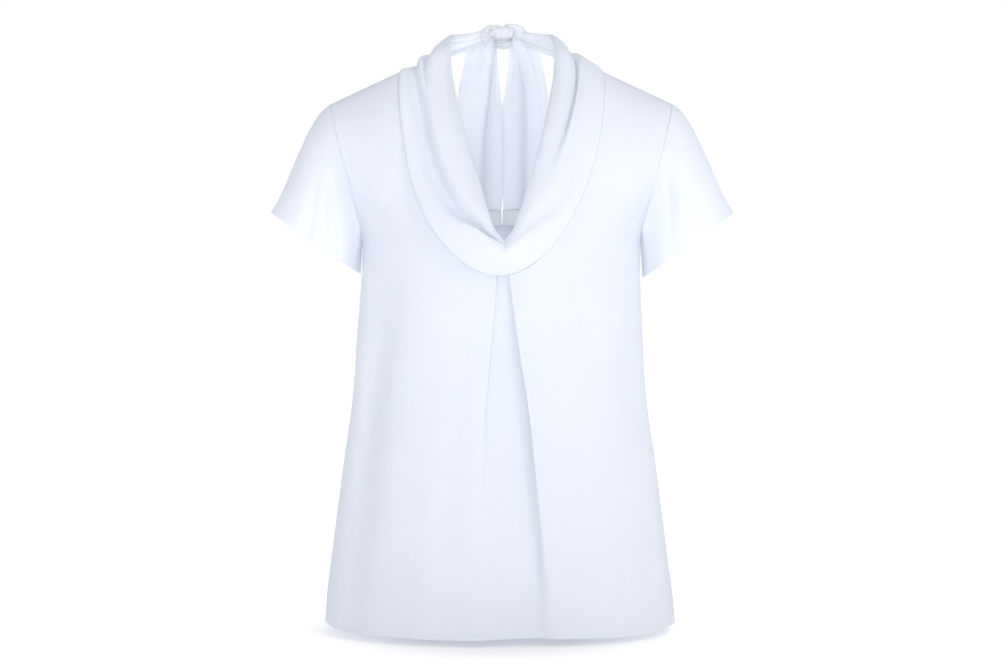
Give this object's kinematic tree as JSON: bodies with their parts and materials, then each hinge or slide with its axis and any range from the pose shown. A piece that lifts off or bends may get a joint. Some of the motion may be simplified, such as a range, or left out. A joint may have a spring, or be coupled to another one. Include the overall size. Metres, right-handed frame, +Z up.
{
  "type": "cowl neck blouse",
  "caption": "Short-sleeved blouse with a soft V-shaped cowl collar, an inverted front pleat and an open back tied at the nape, in the hollow form it has when worn.",
  "frame": {"origin": "midway between the neck ends of the two shoulder seams, where the wearer's shoulders carry the blouse", "axes": "+Z up; the front of the blouse faces -Y; the wearer's left is +X"},
  "size_m": [0.518, 0.2528, 0.6786],
  "materials": {
    "crepe": "matt pale blue polyester crepe with a faint sheen"
  },
  "bodies": {
    "root": {"front": "crepe", "back": "crepe", "back_facing_left": "crepe", "back_facing_right": "crepe", "sleeve_left": "crepe", "sleeve_right": "crepe", "cowl_collar": "crepe", "tie_band_left": "crepe", "tie_band_right": "crepe", "tie_knot": "crepe", "tie_tail_left": "crepe", "tie_tail_right": "crepe"}
  },
  "joints": []
}
